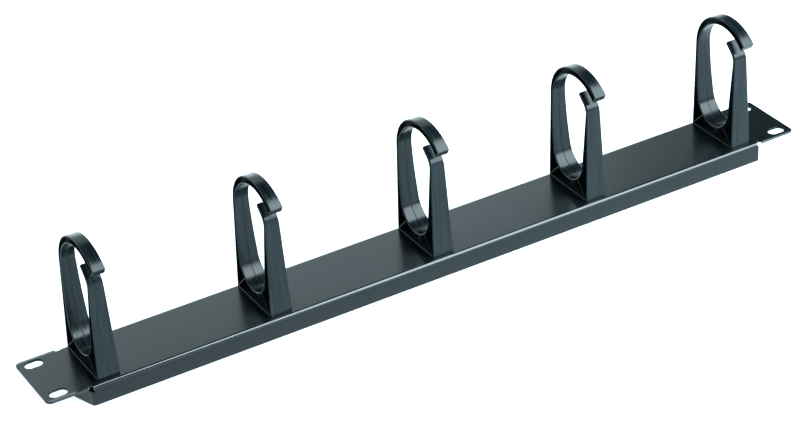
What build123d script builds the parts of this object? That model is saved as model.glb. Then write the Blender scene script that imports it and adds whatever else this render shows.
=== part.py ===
from build123d import *
from math import asin, atan, cos, degrees, radians, sin, sqrt, tan
import os

# Rack cable management panel: one folded steel sheet that carries five moulded cable rings.
# Millimetres. +X runs along the panel's length, +Y up its height in the rack, +Z out of the rack's front.
# The origin is the middle of the four rack slots, on the back of the ears, where the rack rails bear.

# Folded sheet
panel_width = 482.6        # nineteen inch front, over both ears
rack_unit_height = 44.45
unit_clearance = 0.8       # the panel is this much less than its rack unit
sheet = 1.2                # steel thickness
flange_depth = 12.0        # from the face to the flange's free edge
bend_inside = 0.6          # inside radius of every fold
ear_width = 23.2           # flat ear beyond the corner relief
ear_corner = 3.0           # outer corners of the ears
face_edge = 0.35           # rounding that the punch leaves on the face side

# Corner relief, where the face, the flange and its end tab meet
relief_past = 0.2          # past the line where the fold begins
relief_drop = 3.6          # from the face down to the end tab

# End tabs, folded inwards from both ends of each flange
tab_gap = 1.6              # along the panel, from the ear to the outside of the tab's bend
tab_angle = 70.0           # fold, counted from the straight flange
tab_length = 14.5          # flat length beyond the fold

# Rack slots
slot_inset = 8.75          # from the panel's end, which puts the slots on the rack's 465.1 hole spacing
slot_spacing_y = 31.75     # standard rack hole spacing up
slot_length = 10.2         # end to end
slot_width = 6.5

# Cable rings
ring_count = 5
ring_inset = 36.7          # from the panel's end to the middle of the last ring
ring_shift = 0.7           # the rings stand this far towards the upper edge
ring_length = 38.8         # base, up the panel's height
ring_height = 77.9
base_width = 13.1          # along the panel, at the base
crown_width = 6.8          # along the panel, at the crown

# Ring outline, seen from the side
bowl_floor = 7.3           # plastic under the loop
bowl_back_wall = 4.55      # back leg beside the round bottom of the loop
bowl_front_wall = 5.85     # front leg beside it
back_leg = 2.5             # back leg's thickness at its top
back_leg_straight = 2.3    # even part of the back leg, between the arch and its swell towards the base
shoulder_radius = 22.0     # outside of the arch over the back leg
shoulder_angle = 62.7      # where the shoulder passes into the arch, counted from the panel's plane
arch_radius = 27.4         # outside of the arch over the mouth
arch_depth = 4.3           # arch thickness
arch_end = 137.7           # angle of the arch's free end about its centre, on the outside
arch_end_lean = 16.0       # how far the end's face leans out of the arch's radius
hook_drop = 23.1           # from the crown down to where the front leg turns into the hook
front_leg_lean = 1.2       # degrees
hook_radius = 10.3         # outside of the turn
hook_angle = 41.0          # hook above the horizontal
hook_length = 6.2          # straight run after the turn
hook_thickness = 2.2
end_round = 0.5            # corners of both free ends

# Ring section: an outer and an inner skin on a thin middle web
skin = 0.85
web = 2.0
corner_rib = 0.9
rib_round = 0.3            # upper edges of the ribs and of the skin along the base
boss_diameter = 7.4
edge_round = 0.5           # all outer edges of the skins

# Ring screws, driven from behind into the boss of each ring
screw_diameter = 3.5
screw_length = 6.5         # under the head
head_diameter = 6.9
head_height = 2.3
head_edge = 0.7            # height of the head's straight rim
drive_width = 1.0
drive_span = 4.0
drive_depth = 1.3
screw_hole_clearance = 0.25
boss_clearance = 0.04      # around and beyond the screw, so that the solids do not overlap
boss_end = 0.6             # hole depth past the screw's tip

# Worked out from the sizes above
half_width = panel_width / 2
half_height = (rack_unit_height - unit_clearance) / 2
bend_outside = bend_inside + sheet
flat_half = half_height - bend_outside
ear_start = half_width - ear_width
tab_start = ear_start - tab_gap - bend_outside
flange_edge = sheet - flange_depth
slot_spacing_x = panel_width - 2 * slot_inset
ring_pitch = (panel_width - 2 * ring_inset) / (ring_count - 1)
ring_places = [(i - (ring_count - 1) / 2) * ring_pitch for i in range(ring_count)]
bowl_radius = (ring_length - bowl_back_wall - bowl_front_wall) / 2
bowl_centre = (bowl_front_wall - bowl_back_wall) / 2
front_leg_height = ring_height - hook_drop


def polar(centre, radius, angle):
    x, y, *_ = centre
    return (x + radius * cos(radians(angle)), y + radius * sin(radians(angle)))


def arc(centre, radius, start, end):
    """Arc about a centre between two angles."""
    middle = polar(centre, radius, (start + end) / 2)
    return ThreePointArc(polar(centre, radius, start), middle, polar(centre, radius, end))


def box_between(low, high):
    size = [high[i] - low[i] for i in range(3)]
    middle = [(high[i] + low[i]) / 2 for i in range(3)]
    return Pos(*middle) * Box(*size)


def at_corners(shape):
    """The shape with its mirror images at the other three corners of the panel."""
    both_edges = shape + shape.mirror(Plane.XZ)
    return both_edges + both_edges.mirror(Plane.YZ)


def face_plate():
    """Flat blank between the folds, with both ears, the rack slots and the holes for the ring screws."""
    blank = Rectangle(2 * ear_start, 2 * flat_half)
    ear = Rectangle(ear_width, 2 * half_height)
    ear = Pos(ear_start + ear_width / 2, 0) * fillet(ear.vertices().group_by(Axis.X)[-1], ear_corner)
    blank += [ear, ear.mirror(Plane.YZ)]
    slots = GridLocations(slot_spacing_x, slot_spacing_y, 2, 2) * SlotOverall(slot_length, slot_width)
    holes = [Pos(x, ring_shift) * Circle(screw_diameter / 2 + screw_hole_clearance) for x in ring_places]
    return extrude(blank - slots - holes, sheet)


def flange():
    """Fold and flange along the upper edge, up to where the end tabs bend away."""
    centre = (flat_half, -bend_inside)
    fold = arc(centre, bend_outside, 90, 0)
    fold += Line((half_height, -bend_inside), (half_height - sheet, -bend_inside))
    fold += arc(centre, bend_inside, 0, 90) + Line((flat_half, 0), (flat_half, sheet))
    folded = extrude(Plane.YZ * make_face(fold), tab_start, both=True)
    low = (-tab_start, half_height - sheet, flange_edge)
    return folded + box_between(low, (tab_start, half_height, -bend_inside))


def end_tab():
    """Tab at the right end of the upper flange, drawn from above and folded inwards."""
    centre = (tab_start, half_height - bend_outside)
    turned = 90 - tab_angle
    outer = polar(centre, bend_outside, turned)
    inner = polar(centre, bend_inside, turned)
    outline = arc(centre, bend_outside, 90, turned)
    outer_tip = polar(outer, tab_length, -tab_angle)
    inner_tip = polar(inner, tab_length, -tab_angle)
    outline += Polyline(outer, outer_tip, inner_tip, inner)
    outline += arc(centre, bend_inside, turned, 90)
    outline += Line((tab_start, half_height - sheet), (tab_start, half_height))
    return Pos(0, 0, flange_edge) * extrude(make_face(outline), flange_depth - relief_drop)


def panel():
    """The whole folded sheet."""
    body = face_plate()
    body += [flange(), flange().mirror(Plane.XZ)]
    relief = box_between(
        (tab_start, flat_half - relief_past, -bend_outside), (ear_start, half_height + sheet, 2 * sheet)
    )
    body -= at_corners(relief)
    body += at_corners(end_tab())
    front = body.faces().sort_by(Axis.Z)[-1]
    punched = [e for e in front.edges() if abs(e.center().X) > ear_start + sheet]
    return fillet(punched, face_edge)


def arch_lines(leg_out, leg_in):
    """Outside and inside of the arch, from the back leg over the shoulder to the free end."""
    lean = cos(radians(shoulder_angle))
    radius_in = arch_radius - arch_depth
    arch_x = leg_out - shoulder_radius - (arch_radius - shoulder_radius) * lean
    arch = (arch_x, ring_height - arch_radius)
    shoulder = polar(arch, arch_radius - shoulder_radius, shoulder_angle)
    outside = arc(shoulder, shoulder_radius, 0, shoulder_angle)
    outside += arc(arch, arch_radius, shoulder_angle, arch_end)

    # The inside keeps its depth along the arch and eases into the thinner back leg
    shoulder_in = (leg_in - arch_x - radius_in * lean) / (1 - lean)
    foot = polar(arch, radius_in - shoulder_in, shoulder_angle)
    end_in = arch_end + degrees(atan(arch_depth * tan(radians(arch_end_lean)) / radius_in))
    inside = arc(arch, radius_in, end_in, shoulder_angle) + arc(foot, shoulder_in, shoulder_angle, 0)
    tips = [polar(arch, arch_radius, arch_end), polar(arch, radius_in, end_in)]
    return outside, inside, tips, foot[1]


def hook_lines(front):
    """Inside and outside of the hook on the front leg, with the two corners of its tip."""
    knee = (front + front_leg_height * tan(radians(front_leg_lean)), front_leg_height)
    turn = polar(knee, hook_radius, -front_leg_lean)
    start = 180 - front_leg_lean
    end = 90 + hook_angle
    inside = arc(turn, hook_radius - hook_thickness, start, end)
    outside = arc(turn, hook_radius, end, start)
    tips = [polar(inside @ 1, hook_length, hook_angle), polar(outside @ 0, hook_length, hook_angle)]
    return inside, outside, tips, knee


def loop_lines(swell_start, hook_start):
    """Inside of the loop below the arch: swelling back leg, round bowl and straight front leg."""
    bowl = (bowl_centre, bowl_floor + bowl_radius)
    across = swell_start[0] - bowl[0]
    down = swell_start[1] - bowl[1]
    swell = (across**2 + down**2 - bowl_radius**2) / (2 * (across - bowl_radius))
    swell_angle = -degrees(atan(down / (swell - across)))
    lines = arc((swell_start[0] - swell, swell_start[1]), swell, 0, swell_angle)

    # The front leg's inside is the tangent from the hook to the bowl
    out = bowl[0] - hook_start[0]
    up = hook_start[1] - bowl[1]
    reach = sqrt(out**2 + up**2 - bowl_radius**2)
    tangent = 180 - degrees(atan(up / out)) + degrees(atan(reach / bowl_radius))
    lines += arc(bowl, bowl_radius, swell_angle, tangent - 360)
    return lines + Line(polar(bowl, bowl_radius, tangent), hook_start)


def ring_outline():
    """Side view of a ring as one closed line, and the corners of both free ends."""
    front = -ring_length / 2
    back = ring_length / 2
    leg_in = back - back_leg
    arch_out, arch_in, arch_tips, arch_foot = arch_lines(back, leg_in)
    hook_in, hook_out, hook_tips, knee = hook_lines(front)
    hook_start = tuple(hook_in @ 0)[:2]
    swell_start = (leg_in, arch_foot - back_leg_straight)
    outline = Polyline((front, 0), (back, 0), arch_out @ 0) + arch_out + Line(*arch_tips)
    outline += arch_in + Line((leg_in, arch_foot), swell_start)
    outline += loop_lines(swell_start, hook_start) + hook_in
    outline += Polyline(hook_in @ 1, *hook_tips, hook_out @ 0) + hook_out + Line(knee, (front, 0))
    shape = make_face(outline)
    tips = [Vertex(*tip) for tip in arch_tips + hook_tips]
    return shape, [v for v in shape.vertices() if min(v.distance_to(tip) for tip in tips) < edge_round / 10]


def rib_edges(body):
    """Upper edges of the ribs and of the skin along the base, on both sides."""
    found = []
    for edge in body.edges().filter_by(GeomType.LINE):
        middle = edge.center()
        run = edge % 0.5
        inside = skin / 2 < middle.Z < bowl_floor + bowl_radius and abs(middle.X) > base_width / 4
        if inside and max(abs(run.X), abs(run.Z)) < 0.9:
            found.append(edge)
    return found


def ring(place):
    """One moulded ring, standing on the face with its screw boss over its hole."""
    outline, free_ends = ring_outline()
    body = extrude(Plane.YZ * fillet(free_ends, end_round), base_width / 2, both=True)

    # Both sides lean in towards the crown, and their edges are rounded
    wedge = Polyline(
        (-base_width / 2, 0),
        (base_width / 2, 0),
        (crown_width / 2, ring_height),
        (-crown_width / 2, ring_height),
        close=True,
    )
    body &= extrude(Plane.XZ * make_face(wedge), ring_length, both=True)
    sides = body.faces().sort_by(Axis.X)
    side_edges = [e for e in sides[0].edges() + sides[-1].edges() if e.center().Z > edge_round]
    body = fillet(side_edges, edge_round)

    # Pockets between the two skins, from both sides down to the web, with a rib to each corner of the base
    bowl = Pos(bowl_centre, bowl_floor + bowl_radius) * Circle(bowl_radius)
    ribs = []
    for side in (-1, 1):
        middle = (side * ring_length / 4, ring_length / 4)
        ribs.append(Pos(*middle) * Rot(0, 0, -45 * side) * Rectangle(ring_length, corner_rib) - bowl)
    pocket = extrude(Plane.YZ * (outline - trace(outline.edges(), 2 * skin) - ribs), base_width)
    pocket = Pos(web / 2, 0, 0) * pocket
    body -= [pocket, pocket.mirror(Plane.YZ)]
    body = fillet(rib_edges(body), rib_round)

    # Boss for the screw, up to the skin under the loop, and its hole
    boss = Pos(0, 0, bowl_floor / 2) * Cylinder(boss_diameter / 2, bowl_floor)
    loop = Pos(bowl_centre, bowl_floor + bowl_radius) * Circle(bowl_radius - skin / 2)
    body += boss - extrude(Plane.YZ * loop, base_width, both=True)
    depth = screw_length - sheet + boss_end
    hole = Pos(0, 0, depth / 2) * Cylinder(screw_diameter / 2 + boss_clearance, depth)
    return Pos(place, ring_shift, sheet) * (body - hole)


def ring_screw(place):
    """Pan head screw, head down on the back of the sheet."""
    shank = screw_diameter / 2
    head = head_diameter / 2
    point = shank / 2
    domed = head_height - head_edge
    dome = (head**2 + domed**2) / (2 * domed)
    half_dome = degrees(asin(head / dome))
    crown = arc((0, dome - head_height), dome, -90, half_dome - 90)
    tip = screw_length - (shank - point)
    side = Polyline(crown @ 1, (head, 0), (shank, 0), (shank, tip), (point, screw_length), (0, screw_length))
    section = make_face(crown + side + Line((0, screw_length), (0, -head_height)))
    body = revolve(Plane.XZ * section, Axis.Z)
    arm = Box(drive_span, drive_width, drive_depth)
    drive = Pos(0, 0, drive_depth / 2 - head_height) * (arm + Rot(0, 0, 90) * arm)
    return Pos(place, ring_shift, 0) * (body - drive)


os.makedirs("parts", exist_ok=True)
export_step(panel(), "parts/panel.step")
for number, place in enumerate(ring_places, start=1):
    export_step(ring(place), f"parts/ring_{number}.step")
    export_step(ring_screw(place), f"parts/ring_screw_{number}.step")
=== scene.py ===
from math import pi, radians

import bpy
from mathutils import Matrix, Vector


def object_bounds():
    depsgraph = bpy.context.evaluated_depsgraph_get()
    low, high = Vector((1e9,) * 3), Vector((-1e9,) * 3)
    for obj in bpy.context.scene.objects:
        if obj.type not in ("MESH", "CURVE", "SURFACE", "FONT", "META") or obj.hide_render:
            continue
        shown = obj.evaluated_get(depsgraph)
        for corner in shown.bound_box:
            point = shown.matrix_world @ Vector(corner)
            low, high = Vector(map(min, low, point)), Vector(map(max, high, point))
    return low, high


# Rack cable management panel: a folded steel sheet with a black powder coat, and five moulded
# cable rings on its face. The camera stands where the photographer stood, in front and to the left.
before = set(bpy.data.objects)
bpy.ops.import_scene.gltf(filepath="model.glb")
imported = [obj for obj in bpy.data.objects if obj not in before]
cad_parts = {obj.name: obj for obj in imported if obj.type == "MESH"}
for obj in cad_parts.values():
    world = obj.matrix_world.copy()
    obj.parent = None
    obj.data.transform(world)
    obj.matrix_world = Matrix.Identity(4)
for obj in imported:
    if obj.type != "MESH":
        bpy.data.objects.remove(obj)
cad_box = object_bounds()

camera_place = (-0.5983, -1.0604, 0.7606)
camera_turn = -28.782      # degrees about the vertical, from straight along the panel's height
camera_down = 31.386       # degrees below the horizon
camera_roll = -3.635       # degrees about the line of sight
camera_lens = 115.38       # millimetres
camera_sensor = 36.0       # millimetres across
camera_near = 0.05         # metres, the nearest that it sees
camera_far = 30.0          # and the farthest

camera = bpy.data.objects.new("camera", bpy.data.cameras.new("camera"))
bpy.context.scene.collection.objects.link(camera)
camera.data.lens = camera_lens
camera.data.sensor_width = camera_sensor
camera.data.clip_start = camera_near
camera.data.clip_end = camera_far
camera.matrix_world = (
    Matrix.Translation(camera_place)
    @ Matrix.Rotation(radians(camera_turn), 4, "Z")
    @ Matrix.Rotation(radians(90 - camera_down), 4, "X")
    @ Matrix.Rotation(radians(camera_roll), 4, "Z")
)
bpy.context.scene.camera = camera


# Panel: one cold rolled steel sheet, punched, folded along both long edges and at the ends, then
# coated with a satin black polyester powder. It melts into a softly shining skin with a faint
# orange peel, and lies thinner and smoother over the folds, which shine more.
powder_black = "#060F12"
powder_fleck = "#11191C"
powder_ior = 1.46
powder_specular = 0.39     # the shader's own measure, 0.5 for a closed, clean skin
powder_roughness = 0.24
powder_cloud = 0.045       # metres between slow changes of gloss, from the passes of the spray gun
cloud_roughness = 0.03     # that they add or take
cloud_low = 0.3            # the noise's values where they reach that
cloud_high = 0.7
powder_peel = 0.0022       # metres between the skin's waves, drawn about twice as coarse as real
peel_height = 0.0004
peel_strength = 0.06
powder_grain = 0.0007      # metres between flecks in the black, drawn coarse enough to show
grain_height = 0.0002
grain_strength = 0.05
fold_start = 0.0198        # where the face turns into the folds, from the panel's middle
fold_end = -0.0008         # and where they end, down from the back of the face
fold_blend = 0.0006        # metres that their shine takes to come and go
fold_roughness = 0.13
fold_coat_roughness = 0.1


def linear(colour):
    """A hex colour as the linear RGBA that the shaders take."""
    shares = [int(colour[i:i + 2], 16) / 255 for i in (1, 3, 5)]
    return [s / 12.92 if s <= 0.04045 else ((s + 0.055) / 1.055) ** 2.4 for s in shares] + [1.0]


def add(tree, kind, settings, inputs):
    """A new shader node with its settings. Returns its outputs. Each input gets another node's
    output or a plain value, and goes by its number where its name comes more than once."""
    made = tree.nodes.new("ShaderNode" + kind)
    for name, value in settings.items():
        setattr(made, name, value)
    for name, value in inputs.items():
        if isinstance(value, bpy.types.NodeSocket):
            tree.links.new(value, made.inputs[name])
        else:
            made.inputs[name].default_value = value
    return made.outputs


# The numbers of a Mix node's sockets for colours.
mix_share, mix_from, mix_to, mixed = 0, 6, 7, 2


def new_material(name):
    """An empty material, its node tree and the object's own coordinates."""
    made = bpy.data.materials.new(name)
    made.use_nodes = True
    made.node_tree.nodes.clear()
    place = add(made.node_tree, "TexCoord", {}, {})["Object"]
    return made, made.node_tree, place


def finish_material(tree, surface):
    """Ends a material with its surface shader."""
    add(tree, "OutputMaterial", {}, {"Surface": surface["BSDF"]})


def dress(name, material):
    """Gives a node of the frame its material."""
    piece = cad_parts[name]
    piece.data.materials.clear()
    piece.data.materials.append(material)


powder_coat, tree, place = new_material("satin_powder_coat")
cloud = add(tree, "TexNoise", {}, {"Vector": place, "Scale": 1 / powder_cloud, "Detail": 2.0})
peel = add(tree, "TexNoise", {}, {"Vector": place, "Scale": 1 / powder_peel, "Detail": 2.0})
grain = add(tree, "TexNoise", {}, {"Vector": place, "Scale": 1 / powder_grain, "Detail": 1.0})

# The folds: outward of the face and above where they end.
side = add(tree, "SeparateXYZ", {}, {"Vector": place})
across = add(tree, "Math", {"operation": "ABSOLUTE"}, {0: side["Y"]})
outward = add(
    tree, "MapRange", {},
    {"Value": across["Value"], "From Min": fold_start, "From Max": fold_start + fold_blend},
)
above = add(
    tree, "MapRange", {},
    {"Value": side["Z"], "From Min": fold_end, "From Max": fold_end + fold_blend},
)
fold = add(tree, "Math", {"operation": "MULTIPLY"}, {0: outward["Result"], 1: above["Result"]})

gloss = add(
    tree, "MapRange", {},
    {"Value": cloud["Fac"], "From Min": cloud_low, "From Max": cloud_high,
     "To Min": powder_roughness - cloud_roughness, "To Max": powder_roughness + cloud_roughness},
)
gloss = add(
    tree, "MapRange", {},
    {"Value": fold["Value"], "To Min": gloss["Result"], "To Max": fold_roughness},
)
tint = add(
    tree, "Mix", {"data_type": "RGBA"},
    {mix_share: grain["Fac"], mix_from: linear(powder_black), mix_to: linear(powder_fleck)},
)
skin = add(
    tree, "Bump", {},
    {"Height": peel["Fac"], "Strength": peel_strength, "Distance": peel_height},
)
skin = add(
    tree, "Bump", {},
    {"Height": grain["Fac"], "Normal": skin["Normal"], "Strength": grain_strength,
     "Distance": grain_height},
)
finish_material(tree, add(
    tree, "BsdfPrincipled", {},
    {"Base Color": tint[mixed], "Roughness": gloss["Result"], "Normal": skin["Normal"],
     "IOR": powder_ior, "Specular IOR Level": powder_specular,
     "Coat Weight": fold["Value"], "Coat Roughness": fold_coat_roughness},
))
dress("panel", powder_coat)


# Cable rings: each one injection moulded in black nylon 6. It shines, with faint streaks of the
# melt, where the mould was polished, and is dull on the flanks and in the pockets, where it was
# spark cut. A fine parting line runs round in the loop. The flanks, the pockets and the parting
# line are also painted plain black without the lighter streaks, as painted shade. One screw from
# behind holds each ring.
nylon_black = "#040A0C"
nylon_streak = "#17252A"
nylon_ior = 1.47
nylon_specular = 0.41
nylon_roughness = 0.21
plain_roughness = -0.03    # what nylon without a streak adds to that
streak_roughness = 0.05    # and what a streak adds
dull_roughness = 0.85      # of the flanks and pockets
nylon_grain = 0.0011       # metres between the skin's waves, drawn coarse enough to show
skin_height = 0.0002
skin_strength = 0.05
streak_width = 0.0008      # metres across a streak
streak_run = 0.03          # and along it
streak_start = 0.35        # the noise's values where a streak starts
streak_full = 0.7          # and is at its strongest
ring_numbers = range(1, 6)
ring_pitch = 0.1023        # metres from one ring to the next, with the third in the middle
parting_width = 0.0003     # metres, drawn about twice as wide as real
parting_full = 0.3         # widths from the line's middle to where it starts to fade
parting_gone = 0.8         # and to where it is gone
parting_wander = 0.0004    # metres that it strays to either side
parting_roughness = 0.45
parting_height = 0.0002
parting_strength = 0.5
loop_middle = (0.0, 0.0015, 0.045)   # the line is on the sides that face this place in the loop
pocket_half_width = 0.0054    # metres to either side of the web, along the panel
pocket_half_length = 0.0182   # up the panel
pocket_top = 0.0084           # and out from its face, under the loop
flank_start = 0.93         # how squarely a side looks along the panel where it starts to be dull
flank_full = 0.995         # and where it is all dull

moulded_nylon, tree, place = new_material("moulded_black_nylon")
grain = add(tree, "TexNoise", {}, {"Vector": place, "Scale": 1 / nylon_grain, "Detail": 2.0})
facing = add(tree, "NewGeometry", {}, {})["Normal"]

# The streaks: a noise drawn out along the legs.
drawn = add(
    tree, "VectorMath", {"operation": "MULTIPLY"},
    {0: place, 1: (1 / streak_width, 1 / streak_run, 1 / streak_run)},
)
streak = add(tree, "TexNoise", {}, {"Vector": drawn["Vector"], "Scale": 1.0, "Detail": 3.0})
streak = add(
    tree, "MapRange", {},
    {"Value": streak["Fac"], "From Min": streak_start, "From Max": streak_full},
)

# The parting line: a thin wandering band down the middle of each ring, where it faces the loop.
wander = add(tree, "TexNoise", {}, {"Vector": place, "Scale": 1 / streak_run, "Detail": 1.0})
wander = add(
    tree, "MapRange", {},
    {"Value": wander["Fac"], "To Min": -parting_wander, "To Max": parting_wander},
)
along = add(tree, "SeparateXYZ", {}, {"Vector": place})
middle = add(tree, "Math", {"operation": "ADD"}, {0: along["X"], 1: wander["Result"]})
middle = add(
    tree, "Math", {"operation": "WRAP"},
    {0: middle["Value"], 1: ring_pitch / 2, 2: -ring_pitch / 2},
)
middle = add(tree, "Math", {"operation": "ABSOLUTE"}, {0: middle["Value"]})
parting = add(
    tree, "MapRange", {},
    {"Value": middle["Value"], "From Min": parting_full * parting_width,
     "From Max": parting_gone * parting_width, "To Min": 1.0, "To Max": 0.0},
)
inward = add(tree, "VectorMath", {"operation": "SUBTRACT"}, {0: loop_middle, 1: place})
inward = add(tree, "VectorMath", {"operation": "MULTIPLY"}, {0: inward["Vector"], 1: facing})
inward = add(tree, "SeparateXYZ", {}, {"Vector": inward["Vector"]})
inward = add(tree, "Math", {"operation": "ADD"}, {0: inward["Y"], 1: inward["Z"]})
inward = add(tree, "Math", {"operation": "GREATER_THAN"}, {0: inward["Value"], 1: 0.0})
parting = add(
    tree, "Math", {"operation": "MULTIPLY"}, {0: parting["Result"], 1: inward["Value"]},
)

# The dull places: the pockets beside the web, and the flanks that look along the panel. Besides
# dulling them, this mask paints them plain black, a painted shade.
sides = add(tree, "VectorMath", {"operation": "ABSOLUTE"}, {0: place})
sides = add(tree, "SeparateXYZ", {}, {"Vector": sides["Vector"]})
pocket = add(
    tree, "Math", {"operation": "LESS_THAN"}, {0: middle["Value"], 1: pocket_half_width},
)
for distance, reach in ((sides["Y"], pocket_half_length), (sides["Z"], pocket_top)):
    within = add(tree, "Math", {"operation": "LESS_THAN"}, {0: distance, 1: reach})
    pocket = add(
        tree, "Math", {"operation": "MULTIPLY"}, {0: pocket["Value"], 1: within["Value"]},
    )
flank = add(tree, "VectorMath", {"operation": "ABSOLUTE"}, {0: facing})
flank = add(tree, "SeparateXYZ", {}, {"Vector": flank["Vector"]})
flank = add(
    tree, "MapRange", {},
    {"Value": flank["X"], "From Min": flank_start, "From Max": flank_full},
)
dull_and_painted_shade = add(tree, "Math", {"operation": "MAXIMUM"}, {0: pocket["Value"], 1: flank["Result"]})

gloss = add(
    tree, "MapRange", {},
    {"Value": streak["Result"], "To Min": nylon_roughness + plain_roughness,
     "To Max": nylon_roughness + streak_roughness},
)
gloss = add(
    tree, "MapRange", {},
    {"Value": parting["Value"], "To Min": gloss["Result"], "To Max": parting_roughness},
)
gloss = add(
    tree, "MapRange", {},
    {"Value": dull_and_painted_shade["Value"], "To Min": gloss["Result"], "To Max": dull_roughness},
)
tint = add(
    tree, "Mix", {"data_type": "RGBA"},
    {mix_share: streak["Result"], mix_from: linear(nylon_black), mix_to: linear(nylon_streak)},
)
# Painted shade: the parting line, the pockets and the flanks lose their lighter streaks and take
# plain black.
painted_shade = add(
    tree, "Math", {"operation": "MAXIMUM"}, {0: parting["Value"], 1: dull_and_painted_shade["Value"]},
)
tint = add(
    tree, "Mix", {"data_type": "RGBA"},
    {mix_share: painted_shade["Value"], mix_from: tint[mixed], mix_to: linear(nylon_black)},
)
skin = add(
    tree, "Bump", {},
    {"Height": grain["Fac"], "Strength": skin_strength, "Distance": skin_height},
)
skin = add(
    tree, "Bump", {"invert": True},
    {"Height": parting["Value"], "Normal": skin["Normal"], "Strength": parting_strength,
     "Distance": parting_height},
)
finish_material(tree, add(
    tree, "BsdfPrincipled", {},
    {"Base Color": tint[mixed], "Roughness": gloss["Result"], "Normal": skin["Normal"],
     "IOR": nylon_ior, "Specular IOR Level": nylon_specular},
))
for number in ring_numbers:
    dress(f"ring_{number}", moulded_nylon)


# Ring screws: cold headed steel pan heads, zinc plated and passivated, with a light silky sheen
# and fine rolling marks round the head.
zinc_bright = "#B9BCBE"
zinc_dull = "#9EA2A6"
zinc_roughness = 0.32
mottle_count = 1200.0      # marks in a metre, 0.8 millimetres apart, drawn coarse enough to show
mottle_height = 0.0001
mottle_strength = 0.1

plated_steel, tree, place = new_material("zinc_plated_steel")
mottle = add(tree, "TexNoise", {}, {"Vector": place, "Scale": mottle_count, "Detail": 3.0})
tint = add(
    tree, "Mix", {"data_type": "RGBA"},
    {mix_share: mottle["Fac"], mix_from: linear(zinc_dull), mix_to: linear(zinc_bright)},
)
skin = add(
    tree, "Bump", {},
    {"Height": mottle["Fac"], "Strength": mottle_strength, "Distance": mottle_height},
)
finish_material(tree, add(
    tree, "BsdfPrincipled", {},
    {"Base Color": tint[mixed], "Metallic": 1.0, "Roughness": zinc_roughness,
     "Normal": skin["Normal"]},
))
for number in ring_numbers:
    dress(f"ring_screw_{number}", plated_steel)


# Table: a sheet of opal acrylic that runs out of the picture on all sides, lit from below so that
# the shadows on it are lost. A strip of dull black card, hidden under the panel, keeps that light
# from shining up through the corner reliefs; its black is painted shade, standing in for the shade
# under the panel.
floor_white = "#DCEEF4"
floor_light = "#EAF6FA"
floor_glow = 1.0           # brightness of the light from below, beside and behind the panel
front_glow = 0.4           # and out in front of it, past the lamps
lamp_edge = -0.055         # where the light is down to that, in metres up the panel from its middle
lamp_full = -0.015         # and where it is full
floor_roughness = 0.9
floor_reach = 6.0          # metres from the middle to each edge
# The card's black is painted shade, standing in for the shade under the panel.
shade_card_black = "#0A0A0A"
card_roughness = 0.9
card_half_length = 0.212
card_half_width = 0.0195
card_lift = 0.0002         # metres, clear of the table top


def lay_sheet(name, reach_x, reach_y, height, material):
    """A flat sheet on the table, which belongs to the studio and not to the part."""
    bpy.ops.object.select_all(action="DESELECT")
    bpy.ops.mesh.primitive_plane_add(size=2)
    sheet = bpy.context.object
    sheet.name = name
    sheet.scale = (reach_x, reach_y, 1)
    sheet.location.z = height
    bpy.ops.object.transform_apply(location=True, rotation=False, scale=True)
    sheet.data.materials.append(material)


table_top, tree, place = new_material("opal_table_top")
depth = add(tree, "SeparateXYZ", {}, {"Vector": place})["Y"]
glow = add(
    tree, "MapRange", {"interpolation_type": "SMOOTHSTEP"},
    {"Value": depth, "From Min": lamp_edge, "From Max": lamp_full, "To Min": front_glow,
     "To Max": floor_glow},
)
finish_material(tree, add(
    tree, "BsdfPrincipled", {},
    {"Base Color": linear(floor_white), "Roughness": floor_roughness,
     "Emission Color": linear(floor_light), "Emission Strength": glow["Result"]},
))
lay_sheet("floor", floor_reach, floor_reach, cad_box[0].z, table_top)

# Painted shade: the black card under the panel, seen through the corner reliefs.
shade_card, tree, place = new_material("shade_card")
finish_material(tree, add(
    tree, "BsdfPrincipled", {}, {"Base Color": linear(shade_card_black), "Roughness": card_roughness},
))
lay_sheet("card", card_half_length, card_half_width, cad_box[0].z + card_lift, shade_card)


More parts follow.
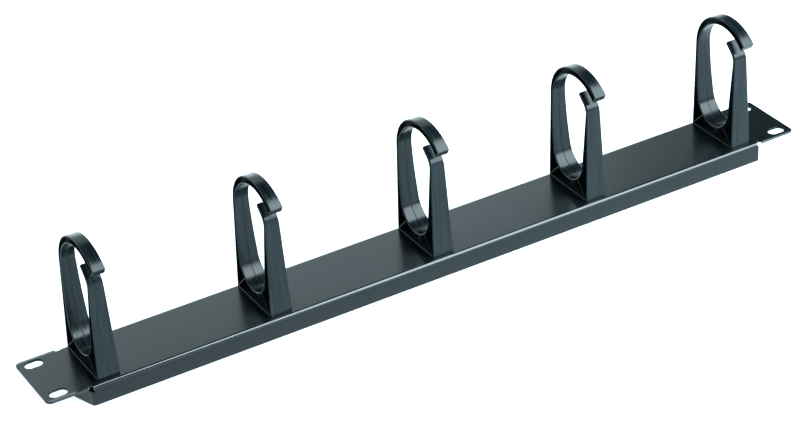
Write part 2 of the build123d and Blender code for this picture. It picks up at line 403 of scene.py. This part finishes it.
# Studio: a white cove low round the table, dark overhead, and three large soft boxes. The key box
# in front draws the bright lines along the folds and in the loops. The face mirrors the low box
# behind it, and the crowns of the rings mirror the high one.
cove_white = "#DCF0F6"
cove_glow = 1.0            # brightness of the cove low round the table
cove_dark = 0.1            # and of the studio overhead
cove_rim = 0.05            # where the cove starts to darken, as the sine of the angle up to it
cove_top = 0.3             # and where it is dark

cove = bpy.data.worlds.new("studio_cove")
bpy.context.scene.world = cove
cove.use_nodes = True
tree = cove.node_tree
tree.nodes.clear()
aim = add(tree, "TexCoord", {}, {})["Generated"]
height = add(tree, "SeparateXYZ", {}, {"Vector": aim})["Z"]
glow = add(
    tree, "MapRange", {"interpolation_type": "SMOOTHSTEP"},
    {"Value": height, "From Min": cove_rim, "From Max": cove_top, "To Min": cove_glow,
     "To Max": cove_dark},
)
light = add(tree, "Background", {}, {"Color": linear(cove_white), "Strength": glow["Result"]})
add(tree, "OutputWorld", {}, {"Surface": light["Background"]})


def soft_box(name, place, target, width, height, brightness, tint):
    """A soft box at a place, turned to its target. At a brightness of 1 it would look white."""
    light = bpy.data.objects.new(name, bpy.data.lights.new(name, "AREA"))
    bpy.context.scene.collection.objects.link(light)
    light.data.shape = "RECTANGLE"
    light.data.size = width
    light.data.size_y = height
    light.data.energy = pi * width * height * brightness
    light.data.color = linear(tint)[:3]
    light.location = place
    aim = Vector(target) - Vector(place)
    light.rotation_euler = aim.to_track_quat("-Z", "Y").to_euler()
    light.visible_camera = False


soft_box(
    "key_box", place=(0.62, -0.74, 0.83), target=(0.05, 0.0, 0.03),
    width=0.9, height=1.28, brightness=10.8, tint="#D8EEF5",
)
soft_box(
    "low_back_box", place=(-0.12, 0.12, 0.055), target=(-0.12, 0.0, 0.055),
    width=0.82, height=0.11, brightness=0.88, tint="#D8EFF6",
)
soft_box(
    "high_back_box", place=(-0.09, 0.7, 0.45), target=(-0.04, 0.0, 0.2),
    width=1.42, height=0.75, brightness=1.22, tint="#DAEFF6",
)

bpy.context.scene.view_settings.view_transform = "Standard"
